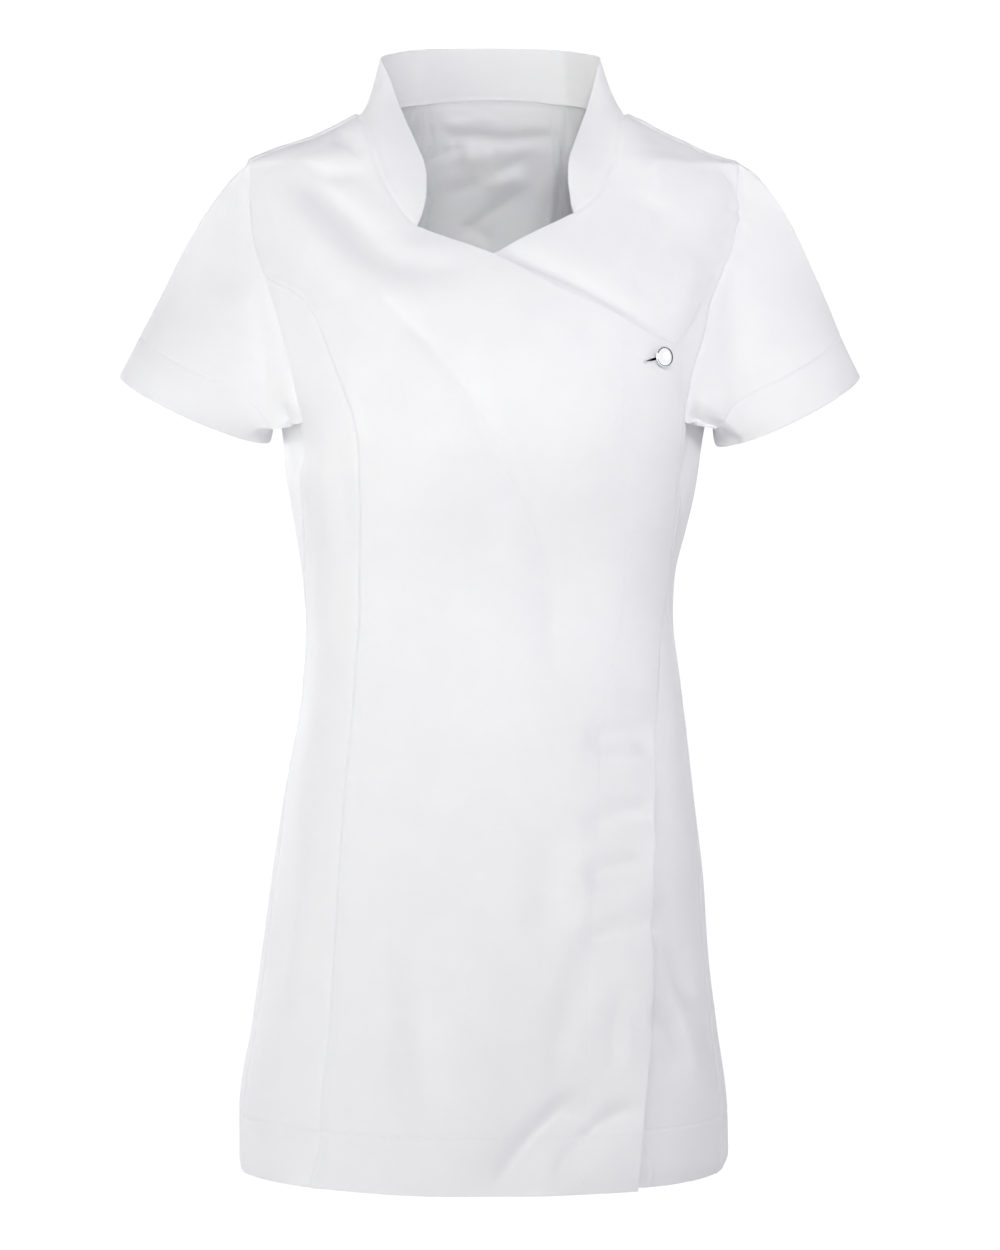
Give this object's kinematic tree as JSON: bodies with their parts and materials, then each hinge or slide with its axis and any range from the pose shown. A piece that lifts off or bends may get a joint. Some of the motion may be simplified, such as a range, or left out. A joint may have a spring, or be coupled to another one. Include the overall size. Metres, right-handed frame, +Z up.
{
  "type": "beautician tunic",
  "caption": "White wrap-front beautician tunic with a stand collar, short set-in sleeves, princess seams and a metal button at the crossed front's corner.",
  "frame": {"origin": "between the wearer's shoulders, at the height where the shoulder seams meet the collar, on the plane of the shoulder ridges", "axes": "+X to the wearer's left, +Y to the back, +Z up; the front faces -Y"},
  "size_m": [0.532, 0.2508, 0.8175],
  "materials": {
    "white_cloth": "smooth white woven polyester with a soft sheen",
    "button_metal": "polished silver-coloured metal"
  },
  "bodies": {
    "root": {"right_front": "white_cloth", "left_front": "white_cloth", "right_side_front": "white_cloth", "left_side_front": "white_cloth", "centre_back": "white_cloth", "right_side_back": "white_cloth", "left_side_back": "white_cloth", "collar": "white_cloth", "right_sleeve": "white_cloth", "left_sleeve": "white_cloth", "button": "button_metal"}
  },
  "joints": []
}
